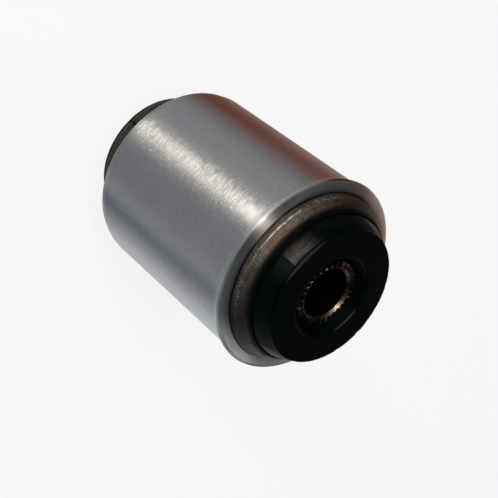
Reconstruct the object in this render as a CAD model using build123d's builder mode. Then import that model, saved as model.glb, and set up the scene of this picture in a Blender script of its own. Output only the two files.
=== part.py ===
"""Rubber-metal bush: a bonded bush pressed into an outer sleeve that ends in a small collar.

A steel tube for the bolt runs through the middle. Rubber is moulded and bonded between that tube
and a steel shell, and swells into a boss beyond each end of the shell. A turned outer sleeve is
pressed over the shell, and its collar stops it in its housing.
The bush stands on its rear rubber face, with +Z along its axis towards the collar.
The origin is the centre of the rear rubber face, and lengths are in millimetres.
"""
from build123d import *
from math import degrees, radians, tan
import os

os.makedirs("parts", exist_ok=True)

# Outer sleeve
sleeve_diameter = 58.0      # pressed into the housing's eye
sleeve_wall = 2.5
sleeve_length = 63.2
shell_front_reach = 5.35    # the shell's front end stands this far out of the collar's face
lead_in_length = 2.3        # taper at the sleeve's rear end
lead_in_step = 0.5
bore_edge_break = 0.25      # bevel at both mouths of the sleeve's bore
collar_step = 1.3           # collar's radius less the sleeve's, before the crest is rounded
collar_crest_rounding = 0.6
collar_crest_drop = 0.6     # the crest lies this far behind the collar's face
collar_height = 3.65        # from the start of the flare to the collar's face
collar_flare_blend = 2.0    # radius where the flare leaves the sleeve

# Bonded shell
shell_wall = 3.4
shell_length = 74.4
shell_end_flat = 0.2        # left at the shell's end inside its 45 degree bevel
shell_edge_rounding = 0.4

# Inner tube
bolt_bore = 15.0            # diameter, clears an M14 bolt
tube_wall = 2.5
tube_recess = 2.0           # each tube end lies this far below the rubber face beside it
bore_mouth_width = 0.8      # smooth bevel round the bore, measured along the radius
bore_mouth_depth = 0.8
tooth_count = 31            # grooves between the serrations that grip the bracket
tooth_groove_depth = 0.9    # at the tube's outside, running out to nothing over the bevel
tooth_groove_reach = 0.6    # how far past the bevel's outer edge the grooves would run out
tooth_flank_angle = 45.0    # between a groove's flank and its middle plane, degrees
tooth_phase = 10.8          # turn of the first groove from +X, degrees

# Rubber body, which fills the space between tube and shell
boss_height = 5.6           # rubber beyond each end of the shell
boss_taper = 2.4            # flank's radius at the shell less its radius at the lip
flank_bulge = 0.4           # how far the flank swells out from a straight cone
lip_height = 0.8            # lip between the flank and the flat face
lip_stand_out = 0.15        # lip's radius less the flank's
lip_rounding = 0.3
lip_groove_width = 0.35     # fine groove under the lip
lip_groove_depth = 0.3
dish_width = 2.5            # dish in the flat face, measured out from the tube
dish_rim_rounding = 0.6
dish_floor_width = 1.0
dish_below_tube = 0.95      # the dish's floor lies this far below the tube's end
seam_width = 0.25           # seam left where the halves of the mould met
seam_depth = 0.25

# Radii and heights that follow
sleeve_radius = sleeve_diameter / 2
shell_radius = sleeve_radius - sleeve_wall
shell_bore_radius = shell_radius - shell_wall
tube_bore_radius = bolt_bore / 2
tube_radius = tube_bore_radius + tube_wall
overall_length = shell_length + 2 * boss_height
mid_height = overall_length / 2
shell_end = overall_length - boss_height
tube_end = overall_length - tube_recess
sleeve_front = shell_end - shell_front_reach
sleeve_rear = sleeve_front - sleeve_length
middle = Plane.XY.offset(mid_height)


# Inner tube. Its front half is turned and serrated, then mirrored about the middle.
bevel_radius = tube_bore_radius + bore_mouth_width
groove_start_radius = bevel_radius - tooth_groove_reach
groove_run = tube_radius - groove_start_radius
groove_plane = Plane(
    origin=(groove_start_radius, 0, tube_end),
    x_dir=(0, 1, 0),
    z_dir=(groove_run, 0, -tooth_groove_depth),
)
groove_top = 2 * tooth_groove_depth
groove_half_width = groove_top * tan(radians(tooth_flank_angle))

with BuildPart() as tooth_groove:
    with BuildSketch(groove_plane):
        with BuildLine():
            Polyline(
                (0, 0),
                (groove_half_width, groove_top),
                (-groove_half_width, groove_top),
                close=True,
            )
        make_face()
    extrude(amount=2 * groove_run)

with BuildPart() as inner_tube:
    with BuildSketch(Plane.XZ):
        with BuildLine():
            Polyline(
                (tube_bore_radius, mid_height),
                (tube_radius, mid_height),
                (tube_radius, tube_end),
                (bevel_radius, tube_end),
                (tube_bore_radius, tube_end - bore_mouth_depth),
                close=True,
            )
        make_face()
    revolve(axis=Axis.Z)
    with PolarLocations(0, tooth_count, start_angle=tooth_phase):
        add(tooth_groove.part, mode=Mode.SUBTRACT)
    mirror(about=middle)


# Rubber body. Its front half is one turned section, with a mould seam on each side of the boss.
lip_base = overall_length - lip_height
boss_tip_radius = shell_bore_radius - boss_taper
lip_radius = boss_tip_radius + lip_stand_out
dish_rim_radius = tube_radius + dish_width
dish_floor = tube_end - dish_below_tube
flank_foot = (shell_bore_radius, shell_end)
flank_tip = (boss_tip_radius, lip_base)
flank_middle_radius = (shell_bore_radius + boss_tip_radius) / 2 + flank_bulge
flank_middle_height = (shell_end + lip_base) / 2
seam_angle = degrees(seam_width / shell_bore_radius)

with BuildPart() as mould_seam:
    with BuildSketch(Plane.XZ):
        with BuildLine():
            ThreePointArc(
                (shell_bore_radius - seam_depth, shell_end),
                (flank_middle_radius - seam_depth, flank_middle_height),
                (boss_tip_radius - seam_depth, lip_base),
            )
            Polyline(
                (boss_tip_radius - seam_depth, lip_base),
                (shell_radius, lip_base),
                (shell_radius, shell_end),
                (shell_bore_radius - seam_depth, shell_end),
            )
        make_face()
    revolve(axis=Axis.Z, revolution_arc=seam_angle)

with BuildPart() as rubber_body:
    with BuildSketch(Plane.XZ) as rubber_section:
        with BuildLine():
            Polyline(
                (tube_radius, dish_floor),
                (tube_radius, mid_height),
                (shell_bore_radius, mid_height),
                flank_foot,
            )
            ThreePointArc(flank_foot, (flank_middle_radius, flank_middle_height), flank_tip)
            Polyline(
                flank_tip,
                (boss_tip_radius - lip_groove_depth, lip_base + lip_groove_width / 2),
                (lip_radius, lip_base + lip_groove_width),
                (lip_radius, overall_length),
                (dish_rim_radius, overall_length),
                (tube_radius + dish_floor_width, dish_floor),
                (tube_radius, dish_floor),
            )
        make_face()
        face_corners = rubber_section.vertices().sort_by(Axis.Y)[-2:].sort_by(Axis.X)
        fillet(face_corners[0], radius=dish_rim_rounding)
        fillet(face_corners[1], radius=lip_rounding)
    revolve(axis=Axis.Z)
    with PolarLocations(0, 2, start_angle=90 - seam_angle / 2):
        add(mould_seam.part, mode=Mode.SUBTRACT)
    mirror(about=middle)


# Bonded shell. Both ends are bevelled at 45 degrees.
bevel_depth = shell_wall - shell_end_flat

with BuildPart() as bonded_shell:
    with BuildSketch(Plane.XZ) as shell_section:
        with BuildLine():
            Polyline(
                (shell_bore_radius, mid_height),
                (shell_radius, mid_height),
                (shell_radius, shell_end - bevel_depth),
                (shell_bore_radius + shell_end_flat, shell_end),
                (shell_bore_radius, shell_end),
                close=True,
            )
        make_face()
        bevel_corner = shell_section.vertices().sort_by(Axis.X)[-2:].sort_by(Axis.Y)[-1]
        fillet(bevel_corner, radius=shell_edge_rounding)
    revolve(axis=Axis.Z)
    mirror(about=middle)


# Outer sleeve, turned with its collar in one piece.
flare_start = sleeve_front - collar_height
crest_corner_radius = sleeve_radius + collar_step

with BuildPart() as outer_sleeve:
    with BuildSketch(Plane.XZ) as sleeve_section:
        with BuildLine():
            Polyline(
                (shell_radius + bore_edge_break, sleeve_rear),
                (sleeve_radius - lead_in_step, sleeve_rear),
                (sleeve_radius, sleeve_rear + lead_in_length),
                (sleeve_radius, flare_start),
                (crest_corner_radius, sleeve_front - collar_crest_drop),
                (shell_radius + bore_edge_break, sleeve_front),
                (shell_radius, sleeve_front - bore_edge_break),
                (shell_radius, sleeve_rear + bore_edge_break),
                close=True,
            )
        make_face()
        outermost = sleeve_section.vertices().sort_by(Axis.X)[-3:].sort_by(Axis.Y)
        fillet(outermost[2], radius=collar_crest_rounding)
        fillet(outermost[1], radius=collar_flare_blend)
    revolve(axis=Axis.Z)


inner_tube.part.label = "inner_tube"
rubber_body.part.label = "rubber_body"
bonded_shell.part.label = "bonded_shell"
outer_sleeve.part.label = "outer_sleeve"

for piece in (inner_tube, rubber_body, bonded_shell, outer_sleeve):
    export_step(piece.part, f"parts/{piece.part.label}.step")
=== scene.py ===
"""Dresses a rubber-metal bush: turned sleeve, bonded shell, moulded rubber and serrated bolt tube.

The bush stands on its rear rubber face, with its axis along Z and its collar end up.
Lengths are written in millimetres and made metres where a mesh or a pattern takes them.
Turns are in degrees about the axis, counted from +X towards +Y.
"""
from collections import namedtuple
from math import atan2, cos, degrees, hypot, pi, radians, sin

import bmesh
import bpy
from mathutils import Matrix, Vector, noise


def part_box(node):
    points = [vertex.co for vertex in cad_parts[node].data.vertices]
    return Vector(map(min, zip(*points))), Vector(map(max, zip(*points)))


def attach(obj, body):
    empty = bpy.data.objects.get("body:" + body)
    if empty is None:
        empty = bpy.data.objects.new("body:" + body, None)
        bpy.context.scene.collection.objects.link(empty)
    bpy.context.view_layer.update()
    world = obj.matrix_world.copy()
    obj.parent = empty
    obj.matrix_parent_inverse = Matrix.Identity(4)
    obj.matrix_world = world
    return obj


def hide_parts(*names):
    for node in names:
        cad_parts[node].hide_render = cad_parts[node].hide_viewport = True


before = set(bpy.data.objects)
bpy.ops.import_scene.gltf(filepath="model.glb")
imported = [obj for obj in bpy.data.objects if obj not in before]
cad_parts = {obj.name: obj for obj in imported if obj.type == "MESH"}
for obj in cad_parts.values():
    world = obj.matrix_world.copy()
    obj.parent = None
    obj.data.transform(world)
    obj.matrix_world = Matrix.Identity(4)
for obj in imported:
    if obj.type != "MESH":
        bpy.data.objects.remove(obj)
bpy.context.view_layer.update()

MM = 0.001


def packed_size(node):
    """The greatest radius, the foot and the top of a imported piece."""
    low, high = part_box(node)
    return high.x / MM, low.z / MM, high.z / MM


def outward(turn):
    """The level direction away from the axis at this turn."""
    return Vector((cos(radians(turn)), sin(radians(turn)), 0))


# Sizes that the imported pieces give
TUBE_RADIUS, _, TUBE_TOP = packed_size("inner_tube")
_, _, BUSH_LENGTH = packed_size("rubber_body")
SHELL_RADIUS, _, SHELL_TOP = packed_size("bonded_shell")
_, SLEEVE_FOOT, SLEEVE_TOP = packed_size("outer_sleeve")
MIDDLE = BUSH_LENGTH / 2

# Sleeve and its collar. A rounding, here and below, is how far back from its corner it starts
SLEEVE_RADIUS = 29.0
LEAD_IN_LENGTH = 2.3
LEAD_IN_STEP = 0.5
LEAD_IN_ROUNDING = 0.4
SLEEVE_FOOT_ROUNDING = 0.2
BORE_EDGE_BREAK = 0.25
COLLAR_STEP = 1.3           # collar's radius less the sleeve's, before the crest is rounded
COLLAR_CREST_DROP = 0.6     # the crest lies this far behind the collar's face
COLLAR_CREST_ROUNDING = 0.82
COLLAR_HEIGHT = 3.65        # from the start of the flare to the collar's face
COLLAR_FLARE_ROUNDING = 0.41
COLLAR_CROWN_INSET = 0.5    # the face is fullest this far inside the sleeve's radius
COLLAR_CROWN_LIFT = 0.19    # and this far above a straight slope there
COLLAR_CROWN_ROUNDING = 1.0
SHOULDER_LINE = 1.2         # a tool line this far under the collar's crest
MARK_LEAN = 0.098           # how far the flats of the turning marks lean to either side, as a slope
DIM_FACE_RADIUS = 26.8      # the collar's face is painted darkest inside this radius, and brighter outside it

# Shell
SHELL_BORE = 23.1
SHELL_END_FLAT = 0.2        # between the bore and the bevel
SHELL_END_ROUNDING = 0.1
SHELL_BEVEL = 3.2
SHELL_BEVEL_SHORT = 0.28    # the bevel stops this far inside the shell's radius
SHELL_BEVEL_ROUNDING = 0.2
SHELL_EASE = 1.6            # and the shell comes out to its radius over this height
SHELL_EASE_ROUNDING = 0.3
SHELL_CORNER_RUN = SHELL_TOP - SHELL_BEVEL - SHELL_RADIUS   # height less radius at the bevel's outer edge
PRIMER_EDGE = (2.6, 4.6)    # past that corner, where the primer starts and is full
PAINT_EDGE = (3.5, 5.1)
EDGE_WANDER = 1.2           # how widely both edges wander

# Rubber
BOSS_ROOT_RADIUS = 22.8
BOSS_ROOT_RISE = 0.5        # the flank's foot stands this far above the shell's end
BOSS_ROOT_ROUNDING = 0.2
BOSS_KNEE_RADIUS = 22.5     # where the flank bends inwards
BOSS_KNEE_RISE = 2.45       # above the shell's end
BOSS_KNEE_ROUNDING = 1.9
BOSS_TIP_RADIUS = 20.7
BOSS_TIP_ROUNDING = 0.1
LIP_RADIUS = 20.85
LIP_HEIGHT = 0.85
LIP_ROUNDING = 0.3
LIP_GROOVE = 0.6            # its width
LIP_GROOVE_DEPTH = 0.45
LIP_GROOVE_ROUNDING = 0.08
LIP_NICKS = ((82, 1.6, 0.22), (105, 1.0, 0.18), (60, 2.2, 0.12), (128, 1.8, 0.12))  # turn, length, depth
FRAY_LENGTH = 1.3           # of the waves in the lip's worn rim
FRAY_DEPTH = 0.10
FINE_FRAY_LENGTH = 0.6
FINE_FRAY_DEPTH = 0.05
REAR_SWELL = 0.5            # how much further out the rear boss stands
REAR_SWELL_START = 0.6      # this far clear of the shell's end
REAR_SWELL_RUN = 1.5        # and full over this height more
REAR_GROOVE_FILL = 0.85     # the share of the rear groove that rubber fills
REAR_SHIFT = 0.5            # how far the rear boss is moulded off the axis
REAR_SHIFT_TURN = 215.0
FRONT_SEAM_TURN = 270       # and opposite it
REAR_SEAM_TURN = -9.0       # from the front seam's turn
SEAM_DEPTH = 0.25
MOULD_OFFSET = 0.12         # how far one half of the mould closed off the other
FLANK_RADIUS = 18.0         # all of a boss past this radius is its flank or its lip
FOOT_GROOVE_DEPTH = 0.2     # a fine groove round the boss's foot goes this far under the shell's end
FOOT_GROOVE_INSET = 0.08    # and keeps this far inside its bore
FOOT_GROOVE_ROUNDING = 0.04
SKIN_THICKNESS = 0.1        # of the rubber that lies on the shell's end
SKIN_START = 0.05           # how far past the shell's bore its top begins and ends
SKIN_END = 0.28
SKIN_START_ROUNDING = 0.05
SKIN_END_ROUNDING = 0.1
SKIN_RADIUS = 24.0          # it runs out here on the shell's bevel
SKIN_WAVES = ((3.0, 0.22), (0.8, 0.10))     # length and depth of the waves in its edge
DISH_RIM_RADIUS = 12.5
DISH_RIM_ROUNDING = 0.55
DISH_FLOOR_RADIUS = 11.0
DISH_FLOOR_ROUNDING = 0.5
DISH_BELOW_TUBE = 0.95      # the dish's floor lies this far below the tube's end

# Tube and its teeth
BOLT_BORE_RADIUS = 7.5
BOLT_BORE_ROUNDING = 0.1
TUBE_BEVEL_RADIUS = 8.3
TUBE_BEVEL_DEPTH = 0.8
TUBE_BEVEL_ROUNDING = 0.08
TUBE_EDGE_ROUNDING = 0.3
TUBE_BEVEL_RINGS = (0.2, 0.35, 0.5, 0.65)       # points up the bevel, for the grooves to run out over
TUBE_END_RINGS = (8.55, 8.8, 9.05, 9.3, 9.5)    # and across the end, by their radii
TOOTH_COUNT = 31
TOOTH_DEPTH = 0.9           # of a groove at the tube's outside
TOOTH_START_RADIUS = 7.7    # the grooves run out to nothing here
TOOTH_PHASE = 10.8          # turn of the first groove
TIP_GLINT_RADIUS = 9.0    # glints are painted on the teeth here
TUBE_RUST = ((175, 9.0, 1.6), (15, 8.5, 2.2), (70, 9.2, 3.0), (95, 9.2, 2.5))  # turn, radius, reach

# Sides where colour is laid on one side only, most of them painted highlights, reflections or shade: the turn
# each one faces, and how far out that way from the axis
# it starts and is full
STREAK_SIDE = (262, 28.3, 28.95)        # painted highlight down the barrel, scored light and dark
STREAK_CORE = (262, 28.7, 29.0)         # the painted highlight's whitest middle
TOOL_LINE_SIDE = (258, 21, 27)          # the line under the collar's crest shows
FACE_SHADE_SIDE = (250, 0, 10)            # painted shade on the collar's face, beside the shell
FACE_REFLECTION_SIDE = (14, 16, 25)           # painted reflection on the collar's face
WARM_HIGHLIGHT_SIDE = (262, 26.2, 27.8)      # warm tint of the painted highlight on the collar's face
RIM_HIGHLIGHT_SIDE = (275, 13, 19)          # painted highlight on the collar's rim
RIM_REFLECTION_SIDE = (180, 27.2, 28.8)       # painted reflection on the collar's rim
FLARE_SHADE_SIDE = (6, 20, 28)          # painted shade under the collar
SHELL_LIT_SIDE = (258, 9, 25)             # the shell's lit side; painted shade darkens the rest
CORNER_HIGHLIGHT_SIDE = (258, 24.4, 26.4)       # painted highlight on the shell's corner
UNSHADED_SEAT_SIDE = (262, 25.5, 26.4)     # the painted gap shade is left off on this side
LIP_HIGHLIGHT_SIDE = (262, 18.9, 20.3)       # painted highlight on the rubber's lip, in grey
DISH_HIGHLIGHT_SIDE = (78, 11.6, 12.6)       # painted highlight on the dish's rim, in grey
FLANK_SHEEN_SIDES = (((20, 18.2, 20.4), "#505553"), ((160, 18.2, 20.4), "#453d38"))   # painted sheen on the boss's sides
BEVEL_HIGHLIGHT_SIDE = (81, 6.2, 8.2)       # painted highlight on the tube's bevel
DIRTY_TEETH_SIDE = (155, 7.6, 8.8)      # the teeth, as dirty as the bevel
TIP_GLINT_SIDE = (258, 6.2, 8.2)      # painted glints on the teeth

# How fine the meshes are
SECTORS = 12
SLEEVE_STEPS = 480
SHELL_STEPS = 720
RUBBER_STEPS = 480
TUBE_STEPS = 24 * TOOTH_COUNT
FLOOR_STEPS = 64
CARD_STEPS = 24
LARGE_ROUNDING = 1.0        # past this a rounding has twice the steps
ROUNDING_STEPS = 4
FLAT_REACH = 0.1            # a flat is held this near its ends
WELD = 0.002                # points this near each other become one
SLACK = 0.02                # takes in the points that lie on a limit
SHARP_ANGLE = 32


# ---------------------------------------------------------------- turned shapes

def ring_section(corners):
    """Draws a closed section in the XZ plane.

    A corner is its radius and height, and where it is rounded, how far back the rounding starts.
    """
    bm = bmesh.new()
    points = [bm.verts.new((corner[0] * MM, 0, corner[1] * MM)) for corner in corners]
    bm.faces.new(points)
    for corner, point in zip(corners, points):
        if len(corner) == 3:
            bmesh.ops.bevel(
                bm,
                geom=[point],
                offset=corner[2] * MM,
                offset_type="OFFSET",
                affect="VERTICES",
                segments=2 * ROUNDING_STEPS if corner[2] > LARGE_ROUNDING else ROUNDING_STEPS,
                profile=0.5,
                material=-1,
            )
    return bm


def hold_flats(bm):
    """Splits each long edge of a section near both ends, so shading stays flat beside a rounding."""
    for edge in list(bm.edges):
        length = edge.calc_length() / MM
        if length > 4 * FLAT_REACH:
            first, last = edge.verts
            bmesh.utils.edge_split(edge, first, FLAT_REACH / length)
            rest = next(
                link for link in last.link_edges
                if link.other_vert(last) != first and link.calc_length() / MM > length / 2
            )
            bmesh.utils.edge_split(rest, last, FLAT_REACH / (length - FLAT_REACH))


def spin_round(bm, steps):
    """Turns a section round the Z axis into a closed ring: one sector is spun and then repeated."""
    bmesh.ops.delete(bm, geom=bm.faces[:], context="FACES_ONLY")
    hold_flats(bm)
    bmesh.ops.spin(
        bm,
        geom=bm.verts[:] + bm.edges[:],
        cent=(0, 0, 0),
        axis=(0, 0, 1),
        angle=2 * pi / SECTORS,
        steps=steps // SECTORS,
    )
    sector = bm.verts[:] + bm.edges[:] + bm.faces[:]
    for turn in range(1, SECTORS):
        copy = bmesh.ops.duplicate(bm, geom=sector)["geom"]
        bmesh.ops.rotate(
            bm,
            verts=[part for part in copy if isinstance(part, bmesh.types.BMVert)],
            cent=(0, 0, 0),
            matrix=Matrix.Rotation(2 * pi * turn / SECTORS, 3, "Z"),
        )
    bmesh.ops.remove_doubles(bm, verts=bm.verts[:], dist=WELD * MM)


def finish_piece(name, bm, material, node):
    """Shades the mesh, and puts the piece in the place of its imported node."""
    bmesh.ops.recalc_face_normals(bm, faces=bm.faces[:])
    for face in bm.faces:
        face.smooth = True
    mesh = bpy.data.meshes.new(name)
    bm.to_mesh(mesh)
    bm.free()
    mesh.set_sharp_from_angle(angle=radians(SHARP_ANGLE))
    mesh.materials.append(material)
    piece = bpy.data.objects.new(name, mesh)
    bpy.context.scene.collection.objects.link(piece)
    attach(piece, "root")
    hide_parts(node)


def both_ends(upper):
    """A section's corners from those above the middle, listed from the inside outwards."""
    lower = [(corner[0], BUSH_LENGTH - corner[1]) + tuple(corner[2:]) for corner in reversed(upper)]
    return upper + lower


# ---------------------------------------------------------------- nodes

Place = namedtuple("Place", "position x y z radius height")


def linear(code):
    """An sRGB hex colour as linear RGBA."""
    parts = [int(code[i:i + 2], 16) / 255 for i in (1, 3, 5)]
    return [c / 12.92 if c <= 0.04045 else ((c + 0.055) / 1.055) ** 2.4 for c in parts] + [1.0]


def add(material, kind, inputs=None, **settings):
    """Adds a node of this kind. An input that is a socket is linked, and any other is set."""
    tree = material.node_tree
    made = tree.nodes.new(kind)
    for name, value in settings.items():
        setattr(made, name, value)
    for name, value in (inputs or {}).items():
        if isinstance(value, bpy.types.NodeSocket):
            tree.links.new(value, made.inputs[name])
        else:
            made.inputs[name].default_value = value
    return made


def new_material(name):
    """A material with no nodes yet."""
    material = bpy.data.materials.new(name)
    material.use_nodes = True
    material.node_tree.nodes.clear()
    return material


def find_place(material):
    """Sockets for where a point is. The height counts both ends of the bush as the front end."""
    position = add(material, "ShaderNodeTexCoord").outputs["Object"]
    across = add(material, "ShaderNodeVectorMath", {0: position, 1: (1, 1, 0)}, operation="MULTIPLY")
    radius = add(material, "ShaderNodeVectorMath", {0: across.outputs[0]}, operation="LENGTH")
    x, y, z = add(material, "ShaderNodeSeparateXYZ", {0: position}).outputs
    height = add(material, "ShaderNodeMath", {0: z, 1: MIDDLE * MM}, operation="SUBTRACT").outputs[0]
    height = add(material, "ShaderNodeMath", {0: height}, operation="ABSOLUTE").outputs[0]
    height = add(material, "ShaderNodeMath", {0: height, 1: MIDDLE * MM}, operation="ADD").outputs[0]
    return Place(position, x, y, z, radius.outputs["Value"], height)


def tool_marks(material, place, run, length, pitch, detail=2.0):
    """Noise drawn out round the axis: dashes of this length, this far apart along the cut."""
    scaled = [
        add(material, "ShaderNodeMath", {0: source, 1: 1 / (size * MM)}, operation="MULTIPLY").outputs[0]
        for source, size in ((place.x, length), (place.y, length), (run, pitch))
    ]
    vector = add(material, "ShaderNodeCombineXYZ", {0: scaled[0], 1: scaled[1], 2: scaled[2]})
    return add(material, "ShaderNodeTexNoise", {
        "Vector": vector.outputs[0], "Scale": 1.0, "Detail": detail, "Roughness": 0.6,
    }).outputs[0]


def toward(material, place, side):
    """A mask of one side of the bush."""
    turn, start, full = side
    reach = add(material, "ShaderNodeVectorMath", {
        0: place.position, 1: outward(turn),
    }, operation="DOT_PRODUCT")
    return add(material, "ShaderNodeMapRange", {
        "Value": reach.outputs["Value"], "From Min": start * MM, "From Max": full * MM,
    }, interpolation_type="SMOOTHSTEP").outputs[0]


def near_line(material, measured, line, core, edge, strength=1.0, rest=0.0, fade="LINEAR"):
    """A mask of where a measure is near a line: at its strength within the core, and at rest past
    the edge."""
    off = add(material, "ShaderNodeMath", {0: measured, 1: line * MM}, operation="SUBTRACT").outputs[0]
    off = add(material, "ShaderNodeMath", {0: off}, operation="ABSOLUTE").outputs[0]
    return add(material, "ShaderNodeMapRange", {
        "Value": off, "From Min": core * MM, "From Max": edge * MM, "To Min": strength, "To Max": rest,
    }, interpolation_type=fade).outputs[0]


def overlap(material, *masks):
    """A mask of where all of these masks are."""
    shared = masks[0]
    for mask in masks[1:]:
        shared = add(material, "ShaderNodeMath", {0: shared, 1: mask}, operation="MULTIPLY").outputs[0]
    return shared


def lay_coats(material, colour, coats):
    """Lays coats over a colour in turn. A coat is its mask and its colour, a hex code or a socket."""
    for mask, coat in coats:
        under, over = (linear(each) if isinstance(each, str) else each for each in (colour, coat))
        colour = add(material, "ShaderNodeMix", {
            "Factor": mask, "A": under, "B": over,
        }, data_type="RGBA").outputs["Result"]
    return colour


# ---------------------------------------------------------------- the sleeve's turned steel

def barrel_colour(material, place, run, scores):
    """Grey steel with a painted highlight down the lamp's side: whiter there, scored light and dark, with
    painted glints, and whitest by the collar.
    """
    hatch = tool_marks(material, place, run, length=1.8, pitch=0.15, detail=1.0)
    grain = add(material, "ShaderNodeTexNoise", {
        "Vector": place.position, "Scale": 1 / (0.5 * MM), "Detail": 1.0,
    }).outputs[0]
    tone = add(material, "ShaderNodeMath", {
        0: grain, 1: 0.15, 2: hatch,
    }, operation="MULTIPLY_ADD").outputs[0]
    tone = add(material, "ShaderNodeMapRange", {
        "Value": tone, "From Min": 0.38, "From Max": 0.78,
    }).outputs[0]
    scored = add(material, "ShaderNodeMapRange", {
        "Value": scores, "From Min": 0.42, "From Max": 0.60,
    }).outputs[0]
    painted_glint = tool_marks(material, place, run, length=0.7, pitch=0.12, detail=0.0)
    painted_glint = add(material, "ShaderNodeMapRange", {
        "Value": painted_glint, "From Min": 0.66, "From Max": 0.78,
    }).outputs[0]
    highlight_by_collar = add(material, "ShaderNodeMapRange", {
        "Value": place.z, "From Min": (SLEEVE_TOP - 16) * MM, "From Max": (SLEEVE_TOP - 4) * MM,
        "To Min": 0.0, "To Max": 0.55,
    }, interpolation_type="SMOOTHSTEP").outputs[0]
    streak = toward(material, place, STREAK_SIDE)
    core = toward(material, place, STREAK_CORE)
    # Painted highlight: the streak's side whiter and scored, whitest by the collar, with painted glints
    return lay_coats(material, "#9fa1a5", [
        (tone, "#afb1b4"),
        (streak, lay_coats(material, "#858688", [(scored, "#d2d1cf")])),
        (overlap(material, highlight_by_collar, core), "#d0cfcd"),
        (overlap(material, painted_glint, streak), "#ececec"),
    ])


def collar_colour(material, place, barrel, face, rim):
    """The collar over the barrel's colour: painted shade, reflections and a warm highlight tint on its face,
    a painted highlight and reflection on its rim, painted shade on the flare below, and a tool line.
    """
    painted_reflection_ring = add(material, "ShaderNodeMapRange", {
        "Value": place.radius, "From Min": DIM_FACE_RADIUS * MM, "From Max": SLEEVE_RADIUS * MM,
    }).outputs[0]
    painted_shade_ring = add(material, "ShaderNodeMapRange", {
        "Value": place.radius, "From Min": DIM_FACE_RADIUS * MM, "From Max": (SLEEVE_RADIUS - 0.8) * MM,
        "To Min": 0.7, "To Max": 0.0,
    }).outputs[0]
    flare = add(material, "ShaderNodeMapRange", {
        "Value": place.radius,
        "From Min": (SLEEVE_RADIUS + 0.05) * MM, "From Max": (SLEEVE_RADIUS + 0.5) * MM,
    }).outputs[0]
    tool_line = near_line(
        material, place.height, SLEEVE_TOP - COLLAR_CREST_DROP - SHOULDER_LINE, 0.05, 0.25, strength=0.55
    )
    # The rim is painted dark as shade, with a painted highlight on the lamp's side and a painted reflection
    # opposite
    rim_painted_light = lay_coats(material, "#5e6164", [
        (toward(material, place, RIM_HIGHLIGHT_SIDE), "#c2c8cd"),
        (toward(material, place, RIM_REFLECTION_SIDE), "#b4b4b4"),
    ])
    # Painted light on the collar: shade and reflections on its face, a warm highlight tint, a lit rim, and
    # shade under the flare
    return lay_coats(material, barrel, [
        (overlap(material, painted_shade_ring, face, toward(material, place, FACE_SHADE_SIDE)), "#747678"),
        (overlap(material, painted_reflection_ring, face), "#b6bcc0"),
        (overlap(material, toward(material, place, FACE_REFLECTION_SIDE), face), "#e4e6e4"),
        (overlap(material, toward(material, place, WARM_HIGHLIGHT_SIDE), face), "#9c9894"),
        (rim, rim_painted_light),
        (overlap(material, flare, toward(material, place, FLARE_SHADE_SIDE)), "#7c7e80"),
        (overlap(material, tool_line, toward(material, place, TOOL_LINE_SIDE)), "#4c4e50"),
    ])


def lean_marks(material, place, around, bump, scores, dashes):
    """The normal of the turning marks' flats, which lean to either side, and least on the collar."""
    lean = add(material, "ShaderNodeMath", {0: scores, 1: 0.65}, operation="MULTIPLY").outputs[0]
    lean = add(material, "ShaderNodeMath", {
        0: dashes, 1: 0.35, 2: lean,
    }, operation="MULTIPLY_ADD").outputs[0]
    lean = add(material, "ShaderNodeMapRange", {
        "Value": lean, "From Min": 0.3, "From Max": 0.7, "To Min": -MARK_LEAN, "To Max": MARK_LEAN,
    }).outputs[0]
    on_barrel = add(material, "ShaderNodeMapRange", {
        "Value": place.height,
        "From Min": (SLEEVE_TOP - COLLAR_HEIGHT) * MM, "From Max": (SLEEVE_TOP - 2.0) * MM,
        "To Min": 1.0, "To Max": 0.25,
    }).outputs[0]
    lean = add(material, "ShaderNodeMath", {0: lean, 1: on_barrel}, operation="MULTIPLY").outputs[0]
    lean = add(material, "ShaderNodeVectorMath", {0: around, "Scale": lean}, operation="SCALE")
    leaning = add(material, "ShaderNodeVectorMath", {0: bump, 1: lean.outputs[0]}, operation="ADD")
    return add(material, "ShaderNodeVectorMath", {0: leaning.outputs[0]}, operation="NORMALIZE").outputs[0]


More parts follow.
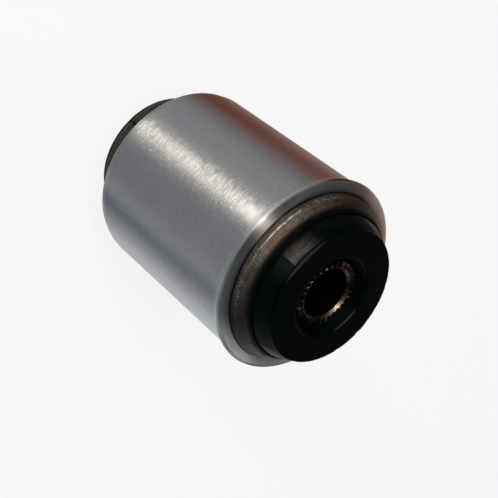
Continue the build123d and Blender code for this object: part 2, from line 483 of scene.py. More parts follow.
def turned_steel():
    """Mild steel turned on a lathe. Fine marks run round it, so a lamp draws out into one long
    streak along the axis that is broken into short dashes. The marks are drawn coarser than real
    ones, which would be too fine to show."""
    material = new_material("turned_steel")
    place = find_place(material)
    run = add(material, "ShaderNodeMath", {0: place.z, 1: place.radius}, operation="ADD").outputs[0]
    dashes = tool_marks(material, place, run, length=1.1, pitch=0.13)
    scores = tool_marks(material, place, run, length=2.8, pitch=0.09, detail=1.0)
    rings = tool_marks(material, place, run, length=60.0, pitch=0.60, detail=1.0)
    face = add(material, "ShaderNodeMapRange", {
        "Value": place.height, "From Min": (SLEEVE_TOP - 1.4) * MM, "From Max": (SLEEVE_TOP - 0.9) * MM,
    }).outputs[0]
    rim = add(material, "ShaderNodeMapRange", {
        "Value": place.radius,
        "From Min": (SLEEVE_RADIUS + 0.75) * MM, "From Max": (SLEEVE_RADIUS + 0.95) * MM,
    }, interpolation_type="SMOOTHSTEP").outputs[0]
    barrel = barrel_colour(material, place, run, scores)
    colour = collar_colour(material, place, barrel, face, rim)

    # Smears dull it a little and the rim's rough edge more, and the collar's face is cut finer
    smears = add(material, "ShaderNodeTexNoise", {
        "Vector": place.position, "Scale": 1 / (12 * MM), "Detail": 3.0,
    }).outputs[0]
    dull = add(material, "ShaderNodeMapRange", {
        "Value": dashes, "From Min": 0.35, "From Max": 0.65, "To Min": 0.37, "To Max": 0.43,
    }).outputs[0]
    for mask, more in ((smears, 0.05), (rim, 0.2), (face, -0.05)):
        dull = add(material, "ShaderNodeMath", {
            0: mask, 1: more, 2: dull,
        }, operation="MULTIPLY_ADD").outputs[0]

    # Each mark is a flat that leans a little, and the tangent runs round the axis along the cut
    marks = add(material, "ShaderNodeMath", {
        0: rings, 1: 0.5, 2: dashes,
    }, operation="MULTIPLY_ADD").outputs[0]
    bump = add(material, "ShaderNodeBump", {"Height": marks, "Distance": 0.012 * MM}).outputs[0]
    around = add(material, "ShaderNodeVectorMath", {
        0: (0, 0, 1), 1: place.position,
    }, operation="CROSS_PRODUCT").outputs[0]
    around = add(material, "ShaderNodeVectorMath", {0: around}, operation="NORMALIZE").outputs[0]
    shader = add(material, "ShaderNodeBsdfPrincipled", {
        "Base Color": colour,
        "Metallic": 1.0,
        "Roughness": dull,
        "Anisotropic": 1.0,
        "Anisotropic Rotation": 0.25,
        "Tangent": around,
        "Normal": lean_marks(material, place, around, bump, scores, dashes),
    })
    add(material, "ShaderNodeOutputMaterial", {"Surface": shader.outputs[0]})
    return material


# ---------------------------------------------------------------- the shell's oiled steel

def corner_shine(material, place, run, mottle, grain):
    """Masks of the painted highlight along the shell's corner, and of painted glints close to it."""
    corner = SHELL_CORNER_RUN + 0.05
    corner_highlight = near_line(material, run, corner, 0.1, 0.45, fade="SMOOTHSTEP")
    corner_highlight = add(material, "ShaderNodeMapRange", {
        "Value": overlap(material, corner_highlight, mottle), "From Min": 0.25, "From Max": 0.65,
    }).outputs[0]
    corner_glints = near_line(material, run, corner, 0.6, 1.6, rest=0.55)
    corner_glints = add(material, "ShaderNodeMapRange", {
        "Value": overlap(material, grain, corner_glints), "From Min": 0.62, "From Max": 0.68,
    }).outputs[0]
    return overlap(material, corner_highlight, toward(material, place, CORNER_HIGHLIGHT_SIDE)), corner_glints


def bonding_layers(material, run, mottle):
    """Masks of the brown primer and the black paint, which begin up the bevel in wandering lines."""
    wandering = add(material, "ShaderNodeMath", {
        0: mottle, 1: EDGE_WANDER * MM, 2: run,
    }, operation="MULTIPLY_ADD").outputs[0]
    wandering = add(material, "ShaderNodeMath", {
        0: wandering, 1: EDGE_WANDER / 2 * MM,
    }, operation="SUBTRACT").outputs[0]
    return [
        add(material, "ShaderNodeMapRange", {
            "Value": wandering,
            "From Min": (SHELL_CORNER_RUN + start) * MM, "From Max": (SHELL_CORNER_RUN + full) * MM,
        }, interpolation_type="SMOOTHSTEP").outputs[0]
        for start, full in (PRIMER_EDGE, PAINT_EDGE)
    ]


def seat_gap_shade(material, place):
    """A mask of painted shade in the gap where the shell leaves the sleeve, left off on the lamp's side."""
    gap = add(material, "ShaderNodeMapRange", {
        "Value": place.height, "From Min": (SLEEVE_TOP + 0.05) * MM, "From Max": (SLEEVE_TOP + 0.55) * MM,
        "To Min": 0.9, "To Max": 0.0,
    }).outputs[0]
    lit_seat = toward(material, place, UNSHADED_SEAT_SIDE)
    open_side = add(material, "ShaderNodeMath", {0: 1.0, 1: lit_seat}, operation="SUBTRACT").outputs[0]
    return overlap(material, gap, open_side)


def oiled_steel():
    """Pressed steel tube, bonded and oiled. It is dull brown and mottled on the lamp's side and painted dark
    as shade elsewhere, on its rear half and in the gap at the sleeve.
    A highlight and glints are painted along the corner of its bevel on the lamp's side, and it is black where
    the bonding paint and rubber feather onto it."""
    material = new_material("oiled_steel")
    place = find_place(material)
    run = add(material, "ShaderNodeMath", {
        0: place.height, 1: place.radius,
    }, operation="SUBTRACT").outputs[0]
    mottle = add(material, "ShaderNodeTexNoise", {
        "Vector": place.position, "Scale": 1 / (2.2 * MM), "Detail": 4.0, "Roughness": 0.65,
    }).outputs[0]
    grain = add(material, "ShaderNodeTexNoise", {
        "Vector": place.position, "Scale": 1 / (0.4 * MM), "Detail": 2.0,
    }).outputs[0]
    tone = add(material, "ShaderNodeMath", {
        0: grain, 1: 0.5, 2: mottle,
    }, operation="MULTIPLY_ADD").outputs[0]
    tone = add(material, "ShaderNodeMapRange", {"Value": tone, "From Min": 0.5, "From Max": 1.0}).outputs[0]
    rust = add(material, "ShaderNodeTexNoise", {
        "Vector": place.position, "Scale": 1 / (4.5 * MM), "Detail": 2.0,
    }).outputs[0]
    rust = add(material, "ShaderNodeMapRange", {
        "Value": rust, "From Min": 0.44, "From Max": 0.62, "To Max": 0.75,
    }).outputs[0]
    drawn = add(material, "ShaderNodeMapRange", {
        "Value": tool_marks(material, place, run, length=9.0, pitch=0.45),
        "From Min": 0.48, "From Max": 0.66, "To Min": 0.0, "To Max": 0.6,
    }).outputs[0]
    primed, painted = bonding_layers(material, run, mottle)
    lit_shell = toward(material, place, SHELL_LIT_SIDE)
    corner_highlight, corner_glints = corner_shine(material, place, run, mottle, grain)
    rear = add(material, "ShaderNodeMath", {0: place.z, 1: MIDDLE * MM}, operation="LESS_THAN").outputs[0]
    bare_steel = lay_coats(material, "#43403b", [(tone, "#7c786f")])
    # Bare steel on the lamp's side, and painted shade, near black, on the rest
    colour = lay_coats(material, "#191815", [
        (lit_shell, bare_steel),
        (overlap(material, rust, lit_shell), "#5e4d46"),
        (drawn, "#2a221e"),
        (corner_highlight, "#dcd5c9"),
        (overlap(material, corner_glints, lit_shell), "#cfc8ba"),
        (primed, "#2c1d18"),
        (painted, "#060606"),
        # Painted shade over the shell's rear half
        (rear, "#1b1b1a"),
        (seat_gap_shade(material, place), "#11100d"),
    ])

    dull = add(material, "ShaderNodeMapRange", {
        "Value": tool_marks(material, place, run, length=3.0, pitch=0.25),
        "From Min": 0.3, "From Max": 0.7, "To Min": 0.45, "To Max": 0.6,
    }).outputs[0]
    dull = add(material, "ShaderNodeMath", {
        0: corner_highlight, 1: -0.1, 2: dull,
    }, operation="MULTIPLY_ADD").outputs[0]
    bare = add(material, "ShaderNodeMath", {0: 1.0, 1: painted}, operation="SUBTRACT").outputs[0]
    bump = add(material, "ShaderNodeBump", {"Height": tone, "Distance": 0.02 * MM})
    shader = add(material, "ShaderNodeBsdfPrincipled", {
        "Base Color": colour,
        "Metallic": bare,
        "Roughness": dull,
        "Specular IOR Level": 0.1,
        "Normal": bump.outputs[0],
    })
    add(material, "ShaderNodeOutputMaterial", {"Surface": shader.outputs[0]})
    return material


# ---------------------------------------------------------------- the moulded rubber

def seam_marks(material, place, off_lip, on_boss):
    """Masks on the front boss: the painted highlight on one side of its seam, and scuffs on the other."""
    facing = add(material, "ShaderNodeMath", {0: place.y, 1: 0.0}, operation="LESS_THAN").outputs[0]
    on_wall = add(material, "ShaderNodeMath", {
        0: place.radius, 1: FLANK_RADIUS * MM,
    }, operation="GREATER_THAN").outputs[0]
    highlight_patch = add(material, "ShaderNodeMapRange", {
        "Value": place.x, "From Min": -10.5 * MM, "From Max": -2.0 * MM,
    }, interpolation_type="SMOOTHSTEP").outputs[0]
    before_seam = add(material, "ShaderNodeMapRange", {
        "Value": place.x, "From Min": -0.12 * MM, "From Max": -0.05 * MM, "To Min": 1.0, "To Max": 0.0,
    }).outputs[0]
    up_flank = add(material, "ShaderNodeMapRange", {
        "Value": place.height, "From Min": SHELL_TOP * MM, "From Max": (SHELL_TOP + 4.4) * MM,
    }, interpolation_type="SMOOTHSTEP").outputs[0]
    scuff = add(material, "ShaderNodeMapRange", {
        "Value": place.x, "From Min": 0.5 * MM, "From Max": 7.0 * MM, "To Min": 1.0, "To Max": 0.0,
    }, interpolation_type="SMOOTHSTEP").outputs[0]
    past_seam = add(material, "ShaderNodeMath", {
        0: place.x, 1: 0.1 * MM,
    }, operation="GREATER_THAN").outputs[0]
    return (
        overlap(material, highlight_patch, before_seam, facing, up_flank, off_lip, on_wall),
        overlap(material, scuff, past_seam, facing, on_boss, off_lip, on_wall),
    )


def lip_highlight(material, place):
    """A mask of the lip's top edge on one side, where a highlight is painted in grey."""
    outer = add(material, "ShaderNodeMapRange", {
        "Value": place.radius, "From Min": (LIP_RADIUS - 1.8) * MM, "From Max": (LIP_RADIUS - 0.7) * MM,
    }, interpolation_type="SMOOTHSTEP").outputs[0]
    inside_edge = add(material, "ShaderNodeMapRange", {
        "Value": place.radius, "From Min": (LIP_RADIUS - 0.25) * MM, "From Max": (LIP_RADIUS + 0.05) * MM,
        "To Min": 1.0, "To Max": 0.3,
    }).outputs[0]
    top = add(material, "ShaderNodeMapRange", {
        "Value": place.height, "From Min": (BUSH_LENGTH - 0.26) * MM, "From Max": (BUSH_LENGTH - 0.16) * MM,
    }).outputs[0]
    return overlap(material, outer, inside_edge, top, toward(material, place, LIP_HIGHLIGHT_SIDE))


def rear_reflection_and_seam(material, place, cloud):
    """Coats on the rear half only: a painted reflection of the pale floor, lighter higher up, and a dark line
    along the rear seam, painted shade.
    """
    rear = add(material, "ShaderNodeMath", {0: place.z, 1: MIDDLE * MM}, operation="LESS_THAN").outputs[0]
    floor_reflection = add(material, "ShaderNodeMapRange", {
        "Value": cloud, "From Min": 0.2, "From Max": 0.6, "To Min": 0.6, "To Max": 1.0,
    }).outputs[0]
    higher_up = add(material, "ShaderNodeMapRange", {
        "Value": place.z, "From Min": 1.5 * MM, "From Max": 4.5 * MM,
    }).outputs[0]
    across_seam = add(material, "ShaderNodeVectorMath", {
        0: place.position, 1: outward(FRONT_SEAM_TURN + REAR_SEAM_TURN + 90),
    }, operation="DOT_PRODUCT").outputs["Value"]
    # A dark line along the rear seam, painted shade in its groove
    seam_line = near_line(material, across_seam, 0.0, 0.15, 0.55)
    return [
        # Painted reflection of the pale floor, lighter higher up
        (overlap(material, rear, floor_reflection), lay_coats(material, "#34342e", [(higher_up, "#3f3f37")])),
        (overlap(material, seam_line, rear), "#08080a"),
    ]


def moulded_rubber():
    """Natural rubber moulded in a two-part mould. It is nearly black, with a soft sheen and faint grey
    scuffs. A highlight is painted on a finely scratched patch beside the mould seam, and on the lip and the
    dish's rim; a sheen is painted on the boss's sides, and a reflection of the floor on the rear boss."""
    material = new_material("moulded_rubber")
    place = find_place(material)
    cloud = add(material, "ShaderNodeTexNoise", {
        "Vector": place.position, "Scale": 1 / (4 * MM), "Detail": 3.0,
    }).outputs[0]
    grain = add(material, "ShaderNodeTexNoise", {
        "Vector": place.position, "Scale": 1 / (0.35 * MM), "Detail": 2.0,
    }).outputs[0]
    scratches = tool_marks(material, place, place.z, length=5.0, pitch=0.28)
    off_lip = add(material, "ShaderNodeMath", {
        0: place.height, 1: (BUSH_LENGTH - LIP_HEIGHT + SLACK) * MM,
    }, operation="LESS_THAN").outputs[0]
    on_boss = add(material, "ShaderNodeMapRange", {
        "Value": place.height, "From Min": (SHELL_TOP + 0.6) * MM, "From Max": (SHELL_TOP + 1.4) * MM,
    }).outputs[0]
    highlight_patch, scuff = seam_marks(material, place, off_lip, on_boss)
    tone = add(material, "ShaderNodeMapRange", {"Value": cloud, "From Min": 0.4, "From Max": 0.7}).outputs[0]
    scratched = add(material, "ShaderNodeMapRange", {
        "Value": scratches, "From Min": 0.3, "From Max": 0.65, "To Min": 0.35, "To Max": 1.0,
    }).outputs[0]
    specks = add(material, "ShaderNodeMapRange", {
        "Value": grain, "From Min": 0.62, "From Max": 0.69,
    }).outputs[0]
    dish_rim = near_line(material, place.radius, DISH_RIM_RADIUS + 0.1, 0.05, 0.35, fade="SMOOTHSTEP")
    # Painted sheen on the boss's sides
    flank_sheen = [
        (overlap(material, toward(material, place, side), on_boss, off_lip), tint)
        for side, tint in FLANK_SHEEN_SIDES
    ]
    colour = lay_coats(material, "#020607", [
        (tone, "#050b0c"),
        # Painted highlight on the flank beside the seam, scratched and specked
        (overlap(material, scratched, highlight_patch), "#5a5856"),
        (overlap(material, specks, highlight_patch), "#9a8378"),
        (lip_highlight(material, place), "#343a3a"),
        # Painted highlight on the dish's rim
        (overlap(material, dish_rim, toward(material, place, DISH_HIGHLIGHT_SIDE)), "#353c3e"),
        (scuff, "#13191c"),
        *rear_reflection_and_seam(material, place, cloud),
        *flank_sheen,
    ])

    dull = add(material, "ShaderNodeMapRange", {
        "Value": cloud, "From Min": 0.3, "From Max": 0.7, "To Min": 0.42, "To Max": 0.58,
    }).outputs[0]
    relief = add(material, "ShaderNodeMath", {
        0: scratches, 1: highlight_patch, 2: grain,
    }, operation="MULTIPLY_ADD").outputs[0]
    bump = add(material, "ShaderNodeBump", {"Height": relief, "Distance": 0.02 * MM})
    shader = add(material, "ShaderNodeBsdfPrincipled", {
        "Base Color": colour,
        "Roughness": dull,
        "Specular IOR Level": 0.02,
        "Normal": bump.outputs[0],
    })
    add(material, "ShaderNodeOutputMaterial", {"Surface": shader.outputs[0]})
    return material


# ---------------------------------------------------------------- the tube's dark steel

def rust_coats(material, place, stain):
    """A brown coat for each rusty spot between the teeth, broken up by the stain."""
    flat = add(material, "ShaderNodeVectorMath", {
        0: place.position, 1: (1, 1, 0),
    }, operation="MULTIPLY").outputs[0]
    coats = []
    for turn, radius, reach in TUBE_RUST:
        spot = outward(turn) * radius * MM
        rust = add(material, "ShaderNodeVectorMath", {0: flat, 1: spot}, operation="DISTANCE")
        rust = add(material, "ShaderNodeMapRange", {
            "Value": rust.outputs["Value"], "From Min": 0.4 * reach * MM, "From Max": reach * MM,
            "To Min": 1.0, "To Max": 0.0,
        }, interpolation_type="SMOOTHSTEP").outputs[0]
        rust = add(material, "ShaderNodeMapRange", {
            "Value": overlap(material, rust, stain), "From Min": 0.25, "From Max": 0.5,
        }).outputs[0]
        coats.append((rust, "#46271f"))
    return coats


def tip_glints(material, place):
    """A mask of painted glints on the tooth tips, here and there on one side."""
    ring = near_line(material, place.radius, TIP_GLINT_RADIUS, 0.06, 0.16)
    top = add(material, "ShaderNodeMapRange", {
        "Value": place.height, "From Min": (TUBE_TOP - 0.06) * MM, "From Max": (TUBE_TOP - 0.01) * MM,
    }).outputs[0]
    scattered = add(material, "ShaderNodeTexNoise", {
        "Vector": place.position, "Scale": 1 / (1.1 * MM), "Detail": 0.0,
    }).outputs[0]
    scattered = add(material, "ShaderNodeMapRange", {
        "Value": scattered, "From Min": 0.46, "From Max": 0.54,
    }).outputs[0]
    return overlap(material, ring, top, toward(material, place, TIP_GLINT_SIDE), scattered)


def dark_tube_steel():
    """Drawn steel tube with rolled teeth, dark from oil. Its bevel, and the lands beside it, are painted
    brighter on one side as a highlight, glints are painted on the tooth tips there, and brown rust sits
    between the teeth."""
    material = new_material("dark_tube_steel")
    place = find_place(material)
    stain = add(material, "ShaderNodeTexNoise", {
        "Vector": place.position, "Scale": 1 / (1.6 * MM), "Detail": 4.0, "Roughness": 0.65,
    }).outputs[0]
    grain = add(material, "ShaderNodeTexNoise", {
        "Vector": place.position, "Scale": 1 / (0.3 * MM), "Detail": 2.0,
    }).outputs[0]
    dirt = add(material, "ShaderNodeMath", {
        0: grain, 1: 0.7, 2: stain,
    }, operation="MULTIPLY_ADD").outputs[0]
    dirt = add(material, "ShaderNodeMapRange", {"Value": dirt, "From Min": 0.7, "From Max": 1.0}).outputs[0]
    on_teeth = add(material, "ShaderNodeMapRange", {
        "Value": place.radius,
        "From Min": (TUBE_BEVEL_RADIUS - 0.05) * MM, "From Max": (TUBE_BEVEL_RADIUS + 0.15) * MM,
    }).outputs[0]
    on_end = add(material, "ShaderNodeMapRange", {
        "Value": place.height, "From Min": (TUBE_TOP - 1.1) * MM, "From Max": (TUBE_TOP - 0.6) * MM,
    }).outputs[0]
    land = add(material, "ShaderNodeMapRange", {
        "Value": place.height, "From Min": (TUBE_TOP - 0.14) * MM, "From Max": (TUBE_TOP - 0.04) * MM,
    }).outputs[0]
    lit_bevel = toward(material, place, BEVEL_HIGHLIGHT_SIDE)
    glinting_tips = tip_glints(material, place)
    dirty = lay_coats(material, "#1c1815", [(dirt, "#55493b")])
    # Painted highlight on the bevel, and on the lands beside it
    bevel = lay_coats(material, dirty, [(lit_bevel, "#8a7d6b")])
    teeth = lay_coats(material, "#080707", [
        (dirt, "#1d1815"),
        (overlap(material, land, lit_bevel), "#9a8b78"),
        (toward(material, place, DIRTY_TEETH_SIDE), dirty),
        *rust_coats(material, place, stain),
        (glinting_tips, "#f0ece4"),
    ])
    end = lay_coats(material, bevel, [(on_teeth, teeth)])
    colour = lay_coats(material, "#332e29", [(on_end, end)])

    dull = add(material, "ShaderNodeMapRange", {
        "Value": grain, "From Min": 0.3, "From Max": 0.7, "To Min": 0.22, "To Max": 0.42,
    }).outputs[0]
    # A painted glint is shown as less of a mirror, so that it stays bright seen from every way
    metal = add(material, "ShaderNodeMapRange", {"Value": glinting_tips, "To Min": 1.0, "To Max": 0.3}).outputs[0]
    bump = add(material, "ShaderNodeBump", {"Height": grain, "Distance": 0.015 * MM})
    shader = add(material, "ShaderNodeBsdfPrincipled", {
        "Base Color": colour,
        "Metallic": metal,
        "Roughness": dull,
        "Normal": bump.outputs[0],
    })
    add(material, "ShaderNodeOutputMaterial", {"Surface": shader.outputs[0]})
    return material


# ---------------------------------------------------------------- the four pieces

def make_sleeve():
    crown = SLEEVE_TOP - COLLAR_CREST_DROP / 2 + COLLAR_CROWN_LIFT
    bm = ring_section([
        (SHELL_RADIUS + BORE_EDGE_BREAK, SLEEVE_FOOT),
        (SLEEVE_RADIUS - LEAD_IN_STEP, SLEEVE_FOOT, SLEEVE_FOOT_ROUNDING),
        (SLEEVE_RADIUS, SLEEVE_FOOT + LEAD_IN_LENGTH, LEAD_IN_ROUNDING),
        (SLEEVE_RADIUS, SLEEVE_TOP - COLLAR_HEIGHT, COLLAR_FLARE_ROUNDING),
        (SLEEVE_RADIUS + COLLAR_STEP, SLEEVE_TOP - COLLAR_CREST_DROP, COLLAR_CREST_ROUNDING),
        (SLEEVE_RADIUS - COLLAR_CROWN_INSET, crown, COLLAR_CROWN_ROUNDING),
        (SHELL_RADIUS + BORE_EDGE_BREAK, SLEEVE_TOP),
        (SHELL_RADIUS, SLEEVE_TOP - BORE_EDGE_BREAK),
        (SHELL_RADIUS, SLEEVE_FOOT + BORE_EDGE_BREAK),
    ])
    spin_round(bm, SLEEVE_STEPS)
    finish_piece("turned_sleeve", bm, turned_steel(), "outer_sleeve")


def make_shell():
    bm = ring_section(both_ends([
        (SHELL_BORE, SHELL_TOP),
        (SHELL_BORE + SHELL_END_FLAT, SHELL_TOP, SHELL_END_ROUNDING),
        (SHELL_RADIUS - SHELL_BEVEL_SHORT, SHELL_TOP - SHELL_BEVEL, SHELL_BEVEL_ROUNDING),
        (SHELL_RADIUS, SHELL_TOP - SHELL_BEVEL - SHELL_EASE, SHELL_EASE_ROUNDING),
    ]))
    spin_round(bm, SHELL_STEPS)
    finish_piece("steel_shell", bm, oiled_steel(), "bonded_shell")


def measure(point):
    """A point's height over the nearer end, as the front end counts it, and its radius."""
    return abs(point.co.z / MM - MIDDLE) + MIDDLE, hypot(point.co.x, point.co.y) / MM


def push_out(point, far):
    """Moves a point this far straight out from the axis."""
    share = far / measure(point)[1]
    point.co.x *= 1 + share
    point.co.y *= 1 + share


def sink(point, depth):
    """Moves a point this far into the bush from its nearer end."""
    point.co.z -= depth * MM * (1 if point.co.z > MIDDLE * MM else -1)


def wander(point, size):
    """Smooth irregularity from -1 to 1 round the bush, with waves about this long in millimetres."""
    return noise.noise(point.co / (size * MM))


def part_the_mould(bm):
    """Cuts the seam down both sides of each boss. The halves of the mould closed a little off true."""
    for point in bm.verts:
        height, radius = measure(point)
        if height < SHELL_TOP + 1.0 or radius < BOSS_TIP_RADIUS - LIP_GROOVE_DEPTH - 0.1:
            continue
        swing = Matrix.Rotation(radians(REAR_SEAM_TURN) if point.co.z < MIDDLE * MM else 0, 3, "Z")
        place = swing.inverted() @ point.co
        on_seam = abs(place.x) < SLACK * MM
        if on_seam and height < BUSH_LENGTH - LIP_HEIGHT + SLACK:
            place.y *= 1 - SEAM_DEPTH / radius
        elif not on_seam and place.x < 0:
            place.y -= MOULD_OFFSET * MM
        point.co = swing @ place


def wear_lip(bm):
    """Frays the lip's rim a little, and cuts a few nicks in it."""
    for point in bm.verts:
        height, radius = measure(point)
        if height < BUSH_LENGTH - LIP_HEIGHT + LIP_GROOVE - 0.1 or radius < LIP_RADIUS - 0.4:
            continue
        turn = degrees(atan2(point.co.y, point.co.x))
        loss = FRAY_DEPTH * max(0.0, wander(point, FRAY_LENGTH) + 0.1)
        loss += FINE_FRAY_DEPTH * abs(wander(point, FINE_FRAY_LENGTH))
        for middle, length, depth in LIP_NICKS:
            off = (turn - middle + 180) % 360 - 180
            loss += depth * max(0.0, 1 - (radians(off) * radius / (length / 2)) ** 2)
        push_out(point, -loss)


def feather_edge(bm):
    """Lets the thin skin of rubber on the shell's bevel end in a wandering line."""
    skin_start = SHELL_BORE + SHELL_END_FLAT
    for point in bm.verts:
        height, radius = measure(point)
        share = (radius - skin_start) / (SKIN_RADIUS - skin_start)
        if share > 0 and height > SHELL_TOP - 2:
            creep = share * sum(depth * wander(point, length) for length, depth in SKIN_WAVES)
            push_out(point, creep)
            sink(point, creep)


def swell_rear(bm):
    """Stands the rear boss a little further out than the front one, with hardly a groove."""
    aside = outward(REAR_SHIFT_TURN) * REAR_SHIFT * MM
    for point in bm.verts:
        radius = measure(point)[1]
        height = point.co.z / MM
        below = BUSH_LENGTH - SHELL_TOP - REAR_SWELL_START - height
        if below > 0 and radius > LIP_RADIUS - 1.5:
            share = min(1.0, below / REAR_SWELL_RUN)
            stand = REAR_SWELL * share
            if 0.05 < height < LIP_HEIGHT + 0.05 and radius < LIP_RADIUS - SLACK:
                stand += REAR_GROOVE_FILL * (LIP_RADIUS - radius)
            push_out(point, stand)
            point.co += aside * share


def make_rubber():
    lip_base = BUSH_LENGTH - LIP_HEIGHT
    dish_floor = TUBE_TOP - DISH_BELOW_TUBE
    skin_top = SHELL_TOP + SKIN_THICKNESS
    bm = ring_section(both_ends([
        (TUBE_RADIUS, dish_floor),
        (DISH_FLOOR_RADIUS, dish_floor, DISH_FLOOR_ROUNDING),
        (DISH_RIM_RADIUS, BUSH_LENGTH, DISH_RIM_ROUNDING),
        (LIP_RADIUS, BUSH_LENGTH, LIP_ROUNDING),
        (LIP_RADIUS, lip_base + LIP_GROOVE, LIP_GROOVE_ROUNDING),
        (BOSS_TIP_RADIUS - LIP_GROOVE_DEPTH, lip_base + LIP_GROOVE / 2, LIP_GROOVE_ROUNDING),
        (BOSS_TIP_RADIUS, lip_base, BOSS_TIP_ROUNDING),
        (BOSS_KNEE_RADIUS, SHELL_TOP + BOSS_KNEE_RISE, BOSS_KNEE_ROUNDING),
        (BOSS_ROOT_RADIUS, SHELL_TOP + BOSS_ROOT_RISE, BOSS_ROOT_ROUNDING),
        (SHELL_BORE - FOOT_GROOVE_INSET, SHELL_TOP - FOOT_GROOVE_DEPTH, FOOT_GROOVE_ROUNDING),
        (SHELL_BORE + SKIN_START, skin_top, SKIN_START_ROUNDING),
        (SHELL_BORE + SKIN_END, skin_top, SKIN_END_ROUNDING),
        (SKIN_RADIUS, SHELL_TOP - (SKIN_RADIUS - SHELL_BORE - SHELL_END_FLAT)),
        (SHELL_BORE + SHELL_END_FLAT, SHELL_TOP),
        (SHELL_BORE, SHELL_TOP),
    ]))
    spin_round(bm, RUBBER_STEPS)
    feather_edge(bm)
    part_the_mould(bm)
    wear_lip(bm)
    swell_rear(bm)
    finish_piece("moulded_rubber", bm, moulded_rubber(), "rubber_body")


def groove_height(radius, turn):
    """The height of the grooves between the teeth here."""
    share = (radius - TOOTH_START_RADIUS) / (TUBE_RADIUS - TOOTH_START_RADIUS)
    pitch = 360 / TOOTH_COUNT
    off = (turn - TOOTH_PHASE + pitch / 2) % pitch - pitch / 2
    return TUBE_TOP - TOOTH_DEPTH * share + abs(radius * sin(radians(off)))


def cut_teeth(bm):
    """Lowers both ends of the tube to the grooves between its teeth."""
    for point in bm.verts:
        height, radius = measure(point)
        if height > TUBE_TOP - TUBE_BEVEL_DEPTH and radius > TOOTH_START_RADIUS:
            turn = degrees(atan2(point.co.y, point.co.x))
            sink(point, max(0.0, height - groove_height(radius, turn)))
    bmesh.ops.dissolve_degenerate(bm, edges=bm.edges[:], dist=WELD * MM)


def make_tube():
    bevel_foot = TUBE_TOP - TUBE_BEVEL_DEPTH
    bm = ring_section(both_ends([
        (BOLT_BORE_RADIUS, bevel_foot, BOLT_BORE_ROUNDING),
        *[(BOLT_BORE_RADIUS + step, bevel_foot + step) for step in TUBE_BEVEL_RINGS],
        (TUBE_BEVEL_RADIUS, TUBE_TOP, TUBE_BEVEL_ROUNDING),
        *[(radius, TUBE_TOP) for radius in TUBE_END_RINGS],
        (TUBE_RADIUS, TUBE_TOP, TUBE_EDGE_ROUNDING),
    ]))
    spin_round(bm, TUBE_STEPS)
    cut_teeth(bm)
    finish_piece("serrated_tube", bm, dark_tube_steel(), "inner_tube")


make_sleeve()
make_shell()
make_rubber()
make_tube()


# ---------------------------------------------------------------- floor, lamps and camera

PICTURE_WIDTH = 498         # pixels
FOCAL_LENGTH = 1110.8       # pixels
CAMERA_PLACE = Vector((0.0040, -0.2477, 0.2598))
CAMERA_DIP = 40.03          # below the horizon, looking along +Y
CAMERA_ROLL = 129.19
FLOOR_RADIUS = 12.0         # metres, as are the lamps' and cards' distances
WHITE_SHARE = 0.86          # how far the floor's paint is lifted to white
ROOM_LEVEL = 0.12
HORIZON_LEVEL = 0.8
HORIZON_GLOW = 26           # how far up the horizon's light reaches, in degrees
LAMP_REACH = 0.9
CARD_REACH = 0.4            # how far a lying card runs out from the sleeve


def floor_paint():
    """Matt white board. It shows pale and keeps the shadow."""
    material = new_material("matt_white_board")
    paint = add(material, "ShaderNodeBsdfDiffuse", {"Color": linear("#f8f8f8")})
    white = add(material, "ShaderNodeEmission", {"Color": linear("#ffffff"), "Strength": 1.0})
    ray = add(material, "ShaderNodeLightPath")
    seen = ray.outputs["Is Camera Ray"]
    for way in ("Is Glossy Ray", "Is Transmission Ray"):
        seen = add(material, "ShaderNodeMath", {0: seen, 1: ray.outputs[way]}, operation="MAXIMUM").outputs[0]
    share = add(material, "ShaderNodeMath", {0: seen, 1: WHITE_SHARE}, operation="MULTIPLY").outputs[0]
    mixed = add(material, "ShaderNodeMixShader", {0: share, 1: paint.outputs[0], 2: white.outputs[0]})
    add(material, "ShaderNodeOutputMaterial", {"Surface": mixed.outputs[0]})
    return material


def make_floor():
    bm = bmesh.new()
    bmesh.ops.create_circle(bm, cap_ends=True, segments=FLOOR_STEPS, radius=FLOOR_RADIUS)
    mesh = bpy.data.meshes.new("floor")
    bm.to_mesh(mesh)
    bm.free()
    floor = bpy.data.objects.new("floor", mesh)
    bpy.context.scene.collection.objects.link(floor)
    mesh.materials.append(floor_paint())


def light_world():
    """A dim room whose walls pale towards the horizon."""
    world = bpy.data.worlds.new("studio")
    bpy.context.scene.world = world
    world.use_nodes = True
    world.node_tree.nodes.clear()
    aim = add(world, "ShaderNodeTexCoord").outputs["Generated"]
    height = add(world, "ShaderNodeSeparateXYZ", {0: aim}).outputs["Z"]
    level = add(world, "ShaderNodeMapRange", {
        "Value": height, "From Min": 0.0, "From Max": sin(radians(HORIZON_GLOW)),
        "To Min": HORIZON_LEVEL, "To Max": ROOM_LEVEL,
    }, interpolation_type="SMOOTHSTEP").outputs[0]
    room = add(world, "ShaderNodeBackground", {"Color": linear("#ffffff"), "Strength": level})
    add(world, "ShaderNodeOutputWorld", {"Surface": room.outputs[0]})


def lamp(name, turn, height, size, level, colour):
    """A rectangular softbox facing the bush from this turn and this many degrees up.

    Its level is what a white card facing it would send back.
    """
    data = bpy.data.lights.new(name, "AREA")
    data.shape = "RECTANGLE"
    data.size, data.size_y = size
    data.color = linear(colour)[:3]
    data.energy = level * (pi * LAMP_REACH) ** 2
    aim = outward(turn) * cos(radians(height)) + Vector((0, 0, sin(radians(height))))
    box = bpy.data.objects.new(name, data)
    box.location = aim * LAMP_REACH + Vector((0, 0, MIDDLE * MM))
    box.rotation_euler = aim.to_track_quat("Z", "Y").to_euler()
    bpy.context.scene.collection.objects.link(box)


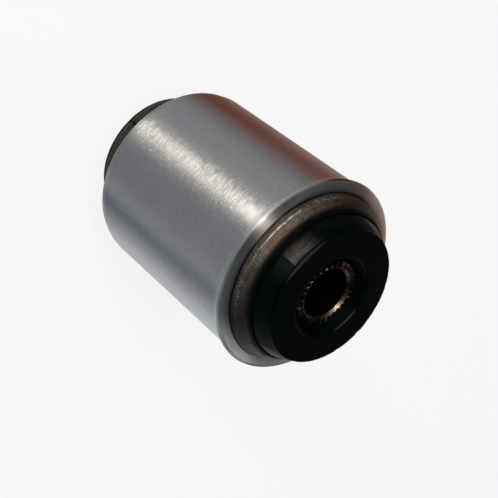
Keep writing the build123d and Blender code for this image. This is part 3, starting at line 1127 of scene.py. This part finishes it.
def card_paint(name, soft, colour):
    """Coloured card that glows at its own colour, so that shiny surfaces show it as a painted reflection. Its
    sides fade out over soft, a share of its width.
    """
    material = new_material(name + "_card")
    across = add(material, "ShaderNodeTexCoord").outputs["UV"]
    across = add(material, "ShaderNodeSeparateXYZ", {0: across}).outputs["X"]
    across = add(material, "ShaderNodeMath", {0: across, 1: 0.5}, operation="SUBTRACT").outputs[0]
    across = add(material, "ShaderNodeMath", {0: across}, operation="ABSOLUTE").outputs[0]
    clear = add(material, "ShaderNodeMapRange", {
        "Value": across, "From Min": 0.5 - soft, "From Max": 0.5,
    }, interpolation_type="SMOOTHSTEP").outputs[0]
    paint = add(material, "ShaderNodeEmission", {"Color": linear(colour), "Strength": 1.0})
    open_air = add(material, "ShaderNodeBsdfTransparent")
    mixed = add(material, "ShaderNodeMixShader", {0: clear, 1: paint.outputs[0], 2: open_air.outputs[0]})
    add(material, "ShaderNodeOutputMaterial", {"Surface": mixed.outputs[0]})
    return material


def card_blank():
    """A card one unit wide and tall about the origin, with a map of how far across each point is."""
    bm = bmesh.new()
    bm.loops.layers.uv.new("across")
    bmesh.ops.create_grid(bm, x_segments=CARD_STEPS, y_segments=1, size=0.5, calc_uvs=True)
    return bm


def place_card(name, bm, soft, colour):
    """Puts a card in the studio. Only shiny surfaces see it."""
    mesh = bpy.data.meshes.new(name)
    bm.to_mesh(mesh)
    bm.free()
    mesh.materials.append(card_paint(name, soft, colour))
    card = bpy.data.objects.new(name, mesh)
    card.visible_camera = False
    card.visible_diffuse = False
    card.visible_shadow = False
    bpy.context.scene.collection.objects.link(card)


def lay_card(name, first, last, soft, colour, lift):
    """A card lying on the floor, that the sleeve mirrors to the camera between two turns."""
    bm = card_blank()
    for point in bm.verts:
        turn = first + (last - first) * (point.co.x + 0.5)
        foot = outward(turn) * SLEEVE_RADIUS * MM
        to_camera = degrees(atan2(CAMERA_PLACE.y - foot.y, CAMERA_PLACE.x - foot.x))
        far = (point.co.y + 0.5) * CARD_REACH
        point.co = foot + outward(2 * turn - to_camera) * far + Vector((0, 0, lift * MM))
    place_card(name, bm, soft, colour)


def stand_card(name, first, last, top, away, soft, colour):
    """A card standing round the bush between two turns, this far away and this high in metres."""
    bm = card_blank()
    for point in bm.verts:
        turn = first + (last - first) * (point.co.x + 0.5)
        point.co = outward(turn) * away + Vector((0, 0, top * (point.co.y + 0.5)))
    place_card(name, bm, soft, colour)


def set_camera():
    data = bpy.data.cameras.new("camera")
    data.sensor_width = 36.0
    data.lens = data.sensor_width * FOCAL_LENGTH / PICTURE_WIDTH
    data.clip_start = 0.01
    camera = bpy.data.objects.new("camera", data)
    tilt = Matrix.Rotation(radians(90 - CAMERA_DIP), 4, "X")
    roll = Matrix.Rotation(radians(CAMERA_ROLL), 4, "Z")
    camera.matrix_world = Matrix.Translation(CAMERA_PLACE) @ tilt @ roll
    bpy.context.scene.collection.objects.link(camera)
    bpy.context.scene.camera = camera


make_floor()
light_world()
lamp("key_low", turn=255.5, height=22, size=(0.125, 0.5), level=0.33, colour="#fff4e8")
lamp("key_high", turn=246, height=62, size=(0.09, 0.5), level=0.28, colour="#fffaf4")
lamp("key_wing", turn=222, height=22, size=(0.6, 0.5), level=0.09, colour="#fffaf4")
lamp("left_low", turn=34, height=10, size=(0.85, 0.35), level=0.24, colour="#fafcfc")
lamp("right_low", turn=116, height=12, size=(0.45, 0.35), level=0.08, colour="#ffc4a0")
lay_card("grey", first=226, last=299, soft=0.06, colour="#bcbec0", lift=0.1)
lay_card("tan", first=180, last=213, soft=0.25, colour="#f4d0b4", lift=0.2)
lay_card("brown", first=206, last=233, soft=0.3, colour="#983a0c", lift=0.3)
lay_card("blue", first=302, last=315, soft=0.4, colour="#1c4470", lift=0.4)
stand_card("brick", first=118, last=194, top=0.6, away=1.2, soft=0.3, colour="#883e14")
set_camera()
bpy.context.scene.view_settings.view_transform = "Standard"
